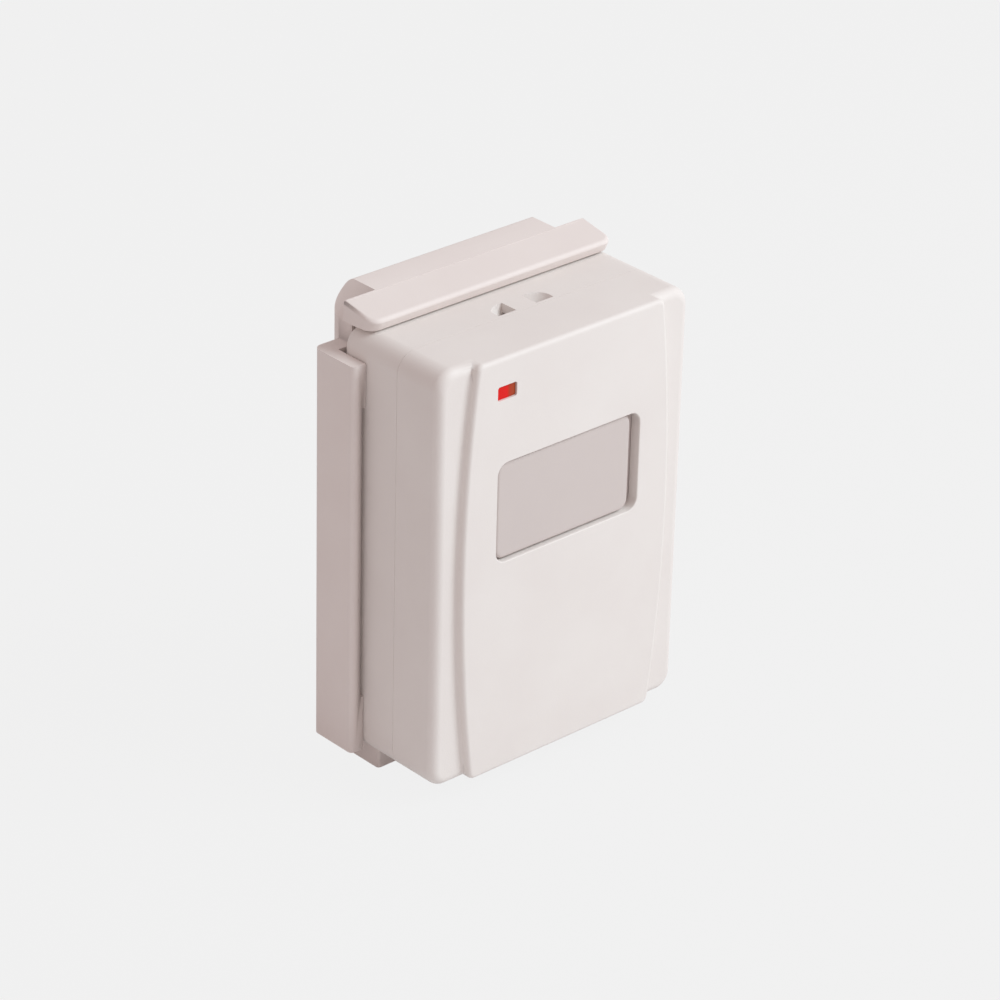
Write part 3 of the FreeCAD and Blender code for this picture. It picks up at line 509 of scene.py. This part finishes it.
class ButtonSettings(bpy.types.PropertyGroup):
    """Sizes of the press cap and its opening, in metres, and the cap's colours."""
    side_play: FloatProperty(name="Side play", description="How much wider the opening is than the flange's inset, "
                             "on each side", default=0.5 * MM, unit="LENGTH")
    left: FloatProperty(name="Left edge", description="Gap between the cap and the opening's left side",
                        default=0.4 * MM, unit="LENGTH")
    right: FloatProperty(name="Right edge", description="Gap between the cap and the opening's right side",
                         default=1.5 * MM, unit="LENGTH")
    recess: FloatProperty(name="Recess", description="How far the cap's face lies behind the panel",
                          default=0.6 * MM, unit="LENGTH")
    end_play: FloatProperty(name="Upper play", description="Gap above and below the cap", default=0.3 * MM,
                            unit="LENGTH")
    rim: FloatProperty(name="Rim", description="Rounding of the opening's rim", default=0.2 * MM, unit="LENGTH")
    corner: FloatProperty(name="Corner", description="Corner radius of the cap seen from the front",
                          default=1.8 * MM, unit="LENGTH")
    edge: FloatProperty(name="Edge", description="Radius of the cap's front edge", default=0.6 * MM, unit="LENGTH")
    face_margin: FloatProperty(name="Face margin", description="Flat border inside the cap's front edge",
                               default=0.8 * MM, unit="LENGTH")
    skin: FloatProperty(name="Skin", description="Wall thickness of the cap", default=1.4 * MM, unit="LENGTH")
    flange_lip: FloatProperty(name="Flange lip", description="How far the stop flange stands out",
                              default=1.55 * MM, unit="LENGTH")
    flange_thickness: FloatProperty(name="Flange thickness", description="Thickness of the stop flange",
                                    default=1.5 * MM, unit="LENGTH")
    flange_rear: FloatProperty(name="Flange rear", description="Depth of the flange's rear behind the panel",
                               default=3.6 * MM, unit="LENGTH")
    stem_radius: FloatProperty(name="Stem", description="Radius of the stem", default=3.0 * MM, unit="LENGTH")
    stem_chamfer: FloatProperty(name="Stem chamfer", description="Chamfer at the stem's end", default=0.25 * MM,
                                unit="LENGTH")
    shade_low: StringProperty(name="Darker shade", description="sRGB hex of the darker plastic", default="CDC2BE")
    shade_high: StringProperty(name="Lighter shade", description="sRGB hex of the lighter plastic", default="CFC4C0")
    roughness: FloatProperty(name="Roughness", description="Surface roughness of the plastic", default=0.42,
                             min=0.0, max=1.0, subtype="FACTOR")
    grain: FloatProperty(name="Grain", description="Size of the moulded grain in millimetres", default=0.25)
    grain_height: FloatProperty(name="Grain height", description="Height of the grain in millimetres",
                                default=0.008)


class WindowSettings(bpy.types.PropertyGroup):
    """Sizes of the indicator window, in metres."""
    corner: FloatProperty(name="Corner", description="Corner radius of the window", default=0.4 * MM, unit="LENGTH")
    edge: FloatProperty(name="Edge", description="Radius of the window's front edge", default=0.12 * MM,
                        unit="LENGTH")
    lip: FloatProperty(name="Lip", description="How far the flange stands out", default=1.0 * MM, unit="LENGTH")
    flange_front: FloatProperty(name="Flange front", description="Depth of the flange behind the panel",
                                default=2.0 * MM, unit="LENGTH")
    flange_thickness: FloatProperty(name="Flange thickness", description="Thickness of the flange",
                                    default=0.8 * MM, unit="LENGTH")
    guide_inset: FloatProperty(name="Guide inset", description="How much narrower the light guide is",
                               default=0.5 * MM, unit="LENGTH")


class StageSettings(bpy.types.PropertyGroup):
    """Light and floor."""
    backdrop: StringProperty(name="Backdrop", description="sRGB hex that the floor shows", default="F1F1F1")
    world_colour: StringProperty(name="Soft colour", description="sRGB hex of the even light", default="FFEFED")
    world_light: FloatProperty(name="Soft light", description="Strength of the even light", default=0.54)
    key_colour: StringProperty(name="Key colour", description="sRGB hex of the large lamp", default="ECFAFF")
    key_power: FloatProperty(name="Key lamp", description="Power of the large lamp in watts", default=5.45,
                             subtype="POWER")
    key_distance: FloatProperty(name="Key distance", description="Distance of the large lamp", default=0.9,
                                unit="LENGTH")
    key_size: FloatProperty(name="Key size", description="Side of the large lamp", default=0.45, unit="LENGTH")
    floor_size: FloatProperty(name="Floor size", description="Side of the floor", default=6.0, unit="LENGTH")
    floor_gap: FloatProperty(name="Floor gap", description="Distance of the floor below the holder",
                             default=0.2 * MM, unit="LENGTH")
    floor_glow: FloatProperty(name="Floor glow", description="Share of the floor's own glow that the camera sees",
                              default=0.97, min=0.0, max=1.0, subtype="FACTOR")


# Operators

class PANIC_OT_case(bpy.types.Operator):
    """Case: front moulding with its bowed panel, and rear moulding with its strap scoop"""
    bl_idname = "panic.case"
    bl_label = "Case"

    def execute(self, context):
        look = context.scene.panic_case
        plastic = moulded_plastic("ivory_abs_moulded", (look.shade_low, look.shade_high), look.roughness,
                                  look.grain, look.grain_height)
        front, half = CAD_BOX[0][1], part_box("rear_cover")[1].x
        seam = front + look.seam_depth
        self.front_moulding(look, plastic, front, seam, half)
        self.rear_moulding(look, plastic, seam, front + look.case_depth, half)
        return {"FINISHED"}

    def outline_block(self, look, name, start, end, half):
        """Block of the case's outline between two depths, its corners rounded, open for editing."""
        top = look.case_height / 2
        block = start_box(name, (-half, start, -top), (half, end, top))
        bevel(block, lambda edge: runs_back(edge) and edge.verts[0].co.z > 0, look.top_corner, segments=8)
        bevel(block, lambda edge: runs_back(edge) and edge.verts[0].co.z < 0
              and abs(edge.verts[0].co.x) > half - look.top_corner / 2, look.foot_corner, segments=8)
        return block

    def add_ribs(self, shell, node, plastic, low, high):
        """Joins what the CAD model's moulding has inside an inner block, then finishes the shell."""
        ribs = copy_node(node, node + "_ribs")
        combine(ribs, rounded_block(low, high, bpy.context.scene.panic_case.wall), "INTERSECT")
        join_to(shell, ribs)
        finish_shading(shell)
        stand_for(shell, node, CASE, plastic)

    def front_moulding(self, look, plastic, front, seam, half):
        """Front moulding: base with side strips, bowed panel, openings, and the CAD model's inner ribs and posts."""
        top, strips = look.case_height / 2, front + look.strip_drop
        base = self.outline_block(look, "front_cover_moulding", strips, seam, half)
        bevel(base, lambda edge: lies_at(edge, strips), look.strip_edge, segments=6)
        bevel(base, lambda edge: lies_at(edge, seam), look.seam, segments=1)
        close_mesh()
        combine(base, self.bowed_panel(look, front, (strips + seam) / 2, top), "UNION")
        open_mesh()
        bevel(base, lambda edge: lies_at(edge, strips) and edge.calc_face_angle_signed(0) < -CORNER_ANGLE,
              look.foot, segments=5)
        close_mesh()
        wall = look.wall
        inner, shelf = top - wall, look.panel_end - wall
        combine(base, rounded_block((wall - half, strips + wall, -inner), (half - wall, seam + wall, inner),
                                    wall), "DIFFERENCE")
        combine(base, rounded_block((-shelf, front + wall, -inner), (shelf, strips + 2 * wall, inner),
                                    wall / 4), "DIFFERENCE")
        self.cut_openings(base, front, wall)
        margin = wall / 2
        self.add_ribs(base, "front_cover", plastic, (margin - half, strips + wall + margin, margin - top),
                      (half - margin, seam + wall, top - margin))

    def bowed_panel(self, look, front, rear, top, rows=24):
        """The raised panel: long sides bowed outwards, front edges rounded."""
        panel = start_box("bowed_panel", (-look.panel_end, front, -top), (look.panel_end, rear, top))
        pick(panel, "edges", lambda edge: abs(edge.verts[0].co.z - edge.verts[1].co.z) > top)
        bpy.ops.mesh.subdivide(number_cuts=rows - 1)
        sag = look.panel_waist - look.panel_end
        radius = (top * top + sag * sag) / (2 * sag)
        for row in range(1, rows):
            level = -top + 2 * top * row / rows
            half = look.panel_waist - radius + math.sqrt(radius * radius - level * level)
            pick(panel, "verts", lambda vert: abs(vert.co.z - level) < NEAR)
            bpy.ops.transform.resize(value=(half / look.panel_end, 1, 1), center_override=(0, 0, level))
        bevel(panel, lambda edge: runs_back(edge) and abs(edge.verts[0].co.z) > top - NEAR, look.panel_corner,
              segments=5)
        bevel(panel, lambda edge: lies_at(edge, front) and edge.calc_face_angle(0) > CORNER_ANGLE, look.panel_edge,
              segments=6)
        close_mesh()
        return panel

    def cut_openings(self, piece, front, wall):
        """Openings for the press cap and the window, with a small rounding round the larger one."""
        cap, window = bpy.context.scene.panic_button, bpy.context.scene.panic_window
        low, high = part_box("alarm_button")
        middle = (low.z + high.z) / 2
        half = high.x - cap.flange_lip + cap.side_play
        rise = (high.z - low.z) / 2 - cap.flange_lip + cap.end_play
        combine(piece, rounded_block((-half, front - wall, middle - rise), (half, front + 2 * wall, middle + rise),
                                     cap.corner + cap.end_play, segments=8), "DIFFERENCE")
        open_mesh()
        bevel(piece, lambda edge: lies_at(edge, front) and edge.calc_face_angle(0) > CORNER_ANGLE
              and all(abs(vert.co.x) < half + NEAR and abs(vert.co.z - middle) < rise + NEAR for vert in edge.verts),
              cap.rim, segments=3)
        close_mesh()
        low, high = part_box("indicator_lens")
        lip = window.lip
        combine(piece, rounded_block((low.x + lip, front - wall, low.z + lip),
                                     (high.x - lip, front + 2 * wall, high.z - lip), window.corner, segments=4),
                "DIFFERENCE")

    def rear_moulding(self, look, plastic, seam, rear, half):
        """Rear moulding: rounded back, scoop with its strap bridge, screw holes and the CAD model's ribs."""
        shell = self.outline_block(look, "rear_cover_moulding", seam, rear, half)
        bevel(shell, lambda edge: lies_at(edge, rear), look.rear_edge, segments=7)
        close_mesh()
        wall, top = look.wall, look.case_height / 2
        inner = top - wall
        deep = inner - look.strap_depth
        combine(shell, rounded_block((wall - half, seam - wall, -inner), (half - wall, rear - wall, deep), wall),
                "DIFFERENCE")
        strap = (seam + look.strap_setback, seam + look.strap_setback + look.strap_width)
        combine(shell, self.strap_scoop(look, *strap, top), "DIFFERENCE")
        combine(shell, plain_block((look.strap_place - look.bridge / 2, strap[0], top - look.bridge_height),
                                   (look.strap_place + look.bridge / 2, strap[1], top)), "UNION")
        screw_x, screw_z = half - look.screw_inset_x, top - look.screw_inset_z
        for x, z in ((-screw_x, -screw_z), (-screw_x, screw_z), (screw_x, -screw_z), (screw_x, screw_z)):
            for radius, depth, sides in ((look.screw_sink_radius, look.screw_sink, 40),
                                         (look.screw_hole_radius, 2 * look.screw_sink, 32)):
                combine(shell, turned_rod((x, rear, z), radius, 2 * depth, sides), "DIFFERENCE")
        margin = wall / 2
        self.add_ribs(shell, "rear_cover", plastic, (margin - half, seam - wall, margin - top),
                      (half - margin, rear - margin, deep))

    def strap_scoop(self, look, start, end, top):
        """Cutter for the scoop under the strap bridge: a round tool across the top, its rear rim rounded."""
        sag, reach = look.strap_depth, look.strap_span / 2
        radius = (reach * reach + sag * sag) / (2 * sag)
        scoop = turned_rod((look.strap_place, (start + end) / 2, top + radius - sag), radius, end - start, sides=96)
        open_mesh()
        bevel(scoop, lambda edge: lies_at(edge, end), look.strap_round, segments=7)
        close_mesh()
        return scoop


class PANIC_OT_holder(bpy.types.Operator):
    """Wall holder: the CAD model's back, plate and flanges, with a softer hook lip over the case"""
    bl_idname = "panic.holder"
    bl_label = "Holder"

    def execute(self, context):
        look = context.scene.panic_holder
        plastic = moulded_plastic("ivory_abs_holder", (look.shade_low, look.shade_high), look.roughness,
                                  look.grain, look.grain_height)
        low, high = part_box("holder")
        case_top = context.scene.panic_case.case_height / 2
        plate = CAD_BOX[0][1] + look.plate_front
        holder = copy_node("holder", "holder_moulding")
        combine(holder, plain_block((low.x - MM, low.y - MM, case_top), (high.x + MM, plate - NEAR, high.z + MM)),
                "DIFFERENCE")
        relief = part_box("rear_cover")[1].x + look.relief
        combine(holder, plain_block((-relief, low.y - MM, look.relief_low), (relief, plate, look.relief_high)),
                "DIFFERENCE")
        combine(holder, self.hook_lip(look, plate, case_top + look.lip_gap, high.z), "UNION")
        finish_shading(holder)
        stand_for(holder, "holder", CASE, plastic)
        return {"FINISHED"}

    def hook_lip(self, look, plate, under, top):
        """The lip that reaches forward over the case: sloping top, rounded corners and a front that leans back."""
        front, rear, half = plate - look.lip_reach, plate + look.lip_gap, look.lip_width / 2
        lip = start_box("hook_lip", (-half, front, under), (half, rear, top))
        pick(lip, "edges", lambda edge: lies_at(edge, front) and all(vert.co.z > top - NEAR for vert in edge.verts))
        bpy.ops.transform.translate(value=(0, 0, under + look.lip_front - top))
        bevel(lip, lambda edge: lies_at(edge, front) and abs(edge.verts[0].co.x - edge.verts[1].co.x) < NEAR,
              look.lip_corner, segments=8)
        bevel(lip, lambda edge: edge.calc_face_angle(0) > CORNER_ANGLE and not lies_at(edge, rear)
              and min(vert.co.z for vert in edge.verts) > under + look.lip_front / 2, look.lip_edge, segments=5)
        bend = front + look.lip_corner + NEAR
        pick(lip, "verts", lambda vert: vert.co.z < under + NEAR and vert.co.y < bend)
        bpy.ops.transform.translate(value=(0, look.lip_lean, 0))
        bend += look.lip_lean
        bevel(lip, lambda edge: all(vert.co.z < under + NEAR and vert.co.y < bend for vert in edge.verts),
              look.lip_under, segments=3)
        close_mesh()
        return lip


class PANIC_OT_button(bpy.types.Operator):
    """Press cap: a stop flange, a flat cap with soft edges, a hollow back and the stem"""
    bl_idname = "panic.button"
    bl_label = "Press cap"

    def execute(self, context):
        look = context.scene.panic_button
        low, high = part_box("alarm_button")
        front, rear = CAD_BOX[0][1] + look.recess, CAD_BOX[0][1] + look.flange_rear
        lip, shelf = look.flange_lip, rear - look.flange_thickness
        cap = start_box("press_cap", (low.x, shelf, low.z), (high.x, rear, high.z))
        bevel(cap, runs_back, look.corner + lip, segments=9)
        inset_at(cap, shelf, lip)
        half = high.x - lip
        shift, reach = (look.left - look.right) / 2, half + look.side_play - (look.left + look.right) / 2
        bpy.ops.transform.resize(value=(reach / half, 1, 1), center_override=(0, 0, 0))
        bpy.ops.transform.translate(value=(shift, 0, 0))
        push(front - shelf)
        bevel(cap, lambda edge: lies_at(edge, front), look.edge, segments=6)
        inset_at(cap, front, look.face_margin)
        inset_at(cap, rear, lip + look.skin)
        push(front + look.skin - rear)
        face_outwards()
        self.add_stem(cap, (low + high) / 2, front + look.skin / 2, high.y, look)
        finish_shading(cap, smooth_angle=40)
        grey = moulded_plastic("grey_abs_satin", (look.shade_low, look.shade_high), look.roughness, look.grain,
                               look.grain_height)
        stand_for(cap, "alarm_button", BUTTON, grey)
        return {"FINISHED"}

    def add_stem(self, cap, middle, start, end, look):
        """The round stem that reaches the switch, chamfered at its end and joined to the cap."""
        stem = turned_rod((middle.x, (start + end) / 2, middle.z), look.stem_radius, end - start, sides=48)
        open_mesh()
        bevel(stem, lambda edge: lies_at(edge, end), look.stem_chamfer, segments=2)
        close_mesh()
        join_to(cap, stem)


class PANIC_OT_window(bpy.types.Operator):
    """Red indicator window: head in the panel, flange behind it and guide down to the lamp"""
    bl_idname = "panic.window"
    bl_label = "Indicator window"

    def execute(self, context):
        look = context.scene.panic_window
        low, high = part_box("indicator_lens")
        seat = CAD_BOX[0][1] + look.flange_front
        back = seat + look.flange_thickness
        lens = start_box("window_lens", (low.x, seat, low.z), (high.x, back, high.z))
        bevel(lens, runs_back, look.lip + look.corner, segments=5)
        inset_at(lens, seat, look.lip)
        push(low.y - seat)
        bevel(lens, lambda edge: lies_at(edge, low.y), look.edge, segments=3)
        inset_at(lens, back, look.lip + look.guide_inset)
        push(high.y - back)
        face_outwards()
        finish_shading(lens)
        # Red lens material, with its painted shade towards the right and a faint painted glow
        red = red_lens_painted_shade("red_acrylic_clear", low.x + look.lip, high.x - look.lip)
        stand_for(lens, "indicator_lens", CASE, red)
        return {"FINISHED"}


class PANIC_OT_inside(bpy.types.Operator):
    """Board, components, battery and screws"""
    bl_idname = "panic.inside"
    bl_label = "Inner parts"

    def execute(self, context):
        dress(["circuit_board"], board_laminate("epoxy_glass_green"))
        dress(["switch_body", "radio_chip", "controller_chip", "voltage_regulator"],
              moulded_plastic("black_epoxy_moulded", ("191A1C", "222326"), roughness=0.55, grain_mm=0.2,
                              grain_height_mm=0.01))
        dress(["switch_plunger"], moulded_plastic("black_nylon_satin", ("1C1C1E", "26262A"), roughness=0.4,
                                                  grain_mm=0.3, grain_height_mm=0.008))
        dress(["board_capacitors"], moulded_plastic("tan_ceramic_fired", ("8A6242", "97704E"), roughness=0.5,
                                                    grain_mm=0.2, grain_height_mm=0.01))
        # The LED takes the lens material, with its painted shade ramp and faint painted glow
        dress(["indicator_led"], red_lens_painted_shade("red_epoxy_clear", low_x=-16 * MM, high_x=-12 * MM))
        dress(["antenna_wire"], plated_metal("brass_drawn", ("B98B3C", "D2A552"), roughness=0.25, brush_mm=0.3))
        dress(["switch_terminals", "crystal", "positive_contact", "negative_contact", "battery_spring",
               "case_screws", "board_screws"],
              plated_metal("nickel_plated_steel", ("B9B7B0", "D6D4CE"), roughness=0.22, brush_mm=0.25))
        dress(["battery"], battery_sleeve("pvc_shrink_sleeve"))
        return {"FINISHED"}


class PANIC_OT_stage(bpy.types.Operator):
    """Camera, soft light, large lamp and pale floor"""
    bl_idname = "panic.stage"
    bl_label = "Stage"

    def execute(self, context):
        look = context.scene.panic_stage
        self.camera(context)
        self.lamps(look)
        self.floor(look)
        context.scene.view_settings.view_transform = "Standard"
        return {"FINISHED"}

    def camera(self, context):
        """Camera at the photograph's place: found by fitting the case's edges."""
        azimuth, elevation, roll = (math.radians(a) for a in (-42.517, 27.708, 1.475))
        place = Vector((-0.41135, -0.46452, 0.32074))
        focal_pixels, picture_pixels, sensor_mm = 4125, 1000, 36.0
        back = Vector((math.sin(azimuth) * math.cos(elevation), -math.cos(azimuth) * math.cos(elevation),
                       math.sin(elevation)))
        level = (-back).cross(Vector((0, 0, 1))).normalized()
        rise = level.cross(-back)
        right = math.cos(roll) * level + math.sin(roll) * rise
        up = math.cos(roll) * rise - math.sin(roll) * level
        bpy.ops.object.camera_add()
        camera = context.object
        camera.name = "photo_camera"
        camera.data.sensor_width = sensor_mm
        camera.data.lens = focal_pixels / picture_pixels * sensor_mm
        camera.data.clip_start, camera.data.clip_end = 0.02, 20.0
        turn = Matrix((right, up, back)).transposed().to_4x4()
        camera.matrix_world = Matrix.Translation(place) @ turn
        context.scene.camera = camera

    def lamps(self, look):
        """Even light from all sides, and a large lamp above on the right."""
        world = bpy.data.worlds.new("soft_room")
        bpy.context.scene.world = world
        world.use_nodes = True
        tree = world.node_tree
        tree.nodes.clear()
        shown = self.seen_by_eye(tree)
        even = add(tree, "ShaderNodeBackground", Color=linear(look.world_colour), Strength=look.world_light)
        pale = add(tree, "ShaderNodeBackground", Color=linear(look.backdrop), Strength=1.0)
        mix = add(tree, "ShaderNodeMixShader", {0: shown, 1: even.outputs[0], 2: pale.outputs[0]})
        add(tree, "ShaderNodeOutputWorld", {"Surface": mix.outputs[0]})
        towards_key = Vector((0.45, -0.61, 0.66)).normalized()
        key_place = towards_key * look.key_distance
        bpy.ops.object.light_add(type="AREA", location=key_place)
        key = bpy.context.object
        key.name = "key_lamp"
        key.data.energy = look.key_power
        key.data.color = linear(look.key_colour)[:3]
        key.data.shape = "SQUARE"
        key.data.size = look.key_size
        key.rotation_euler = (-towards_key).to_track_quat("-Z", "Y").to_euler()

    def floor(self, look):
        """Matt pale paper: the camera sees mostly its even glow, and what is left keeps the object's shadow."""
        bpy.ops.mesh.primitive_plane_add(size=look.floor_size, location=(0, 0, CAD_BOX[0][2] - look.floor_gap))
        floor = bpy.context.object
        floor.name = "pale_floor"
        material, tree = blank_material("pale_paper_matt")
        shown = self.seen_by_eye(tree)
        fibre = add(tree, "ShaderNodeTexNoise", {"Vector": place_on(tree)}, Scale=40.0, Detail=2.0)
        tone = ramp_between(tree, fibre.outputs["Fac"], [(0.3, "EFEFEF"), (0.7, "F1F1F1")])
        matt = add(tree, "ShaderNodeBsdfDiffuse", {"Color": tone.outputs["Color"]})
        glow = add(tree, "ShaderNodeEmission", Color=linear(look.backdrop), Strength=1.0)
        share = add(tree, "ShaderNodeMath", {0: shown}, operation="MULTIPLY")
        share.inputs[1].default_value = look.floor_glow
        mix = add(tree, "ShaderNodeMixShader", {0: share.outputs[0], 1: matt.outputs[0], 2: glow.outputs[0]})
        add(tree, "ShaderNodeOutputMaterial", {"Surface": mix.outputs[0]})
        floor.data.materials.append(material)

    def seen_by_eye(self, tree):
        """1 for rays from the camera and for reflected or refracted ones."""
        path = add(tree, "ShaderNodeLightPath")
        some = add(tree, "ShaderNodeMath", {0: path.outputs["Is Camera Ray"], 1: path.outputs["Is Glossy Ray"]},
                   operation="ADD", use_clamp=True)
        both = add(tree, "ShaderNodeMath", {0: some.outputs[0], 1: path.outputs["Is Transmission Ray"]},
                   operation="ADD", use_clamp=True)
        return both.outputs[0]


class PANIC_PT_panel(bpy.types.Panel):
    """Panel in the sidebar that lists the operators"""
    bl_idname = "PANIC_PT_panel"
    bl_label = "Panic button"
    bl_space_type = "VIEW_3D"
    bl_region_type = "UI"
    bl_category = "Panic button"

    def draw(self, context):
        for operator in STEPS:
            self.layout.operator(operator.bl_idname)


STEPS = (PANIC_OT_case, PANIC_OT_holder, PANIC_OT_button, PANIC_OT_window, PANIC_OT_inside, PANIC_OT_stage)
SETTINGS = (("panic_case", CaseSettings), ("panic_holder", HolderSettings), ("panic_button", ButtonSettings),
            ("panic_window", WindowSettings), ("panic_stage", StageSettings))
CLASSES = tuple(group for _, group in SETTINGS) + STEPS + (PANIC_PT_panel,)


def register():
    for cls in CLASSES:
        bpy.utils.register_class(cls)
    for name, group in SETTINGS:
        setattr(bpy.types.Scene, name, bpy.props.PointerProperty(type=group))


def unregister():
    for name, _ in SETTINGS:
        delattr(bpy.types.Scene, name)
    for cls in reversed(CLASSES):
        bpy.utils.unregister_class(cls)


def main():
    register()
    for operator in STEPS:
        group, name = operator.bl_idname.split(".")
        getattr(getattr(bpy.ops, group), name)()


if __name__ == "__main__":
    main()
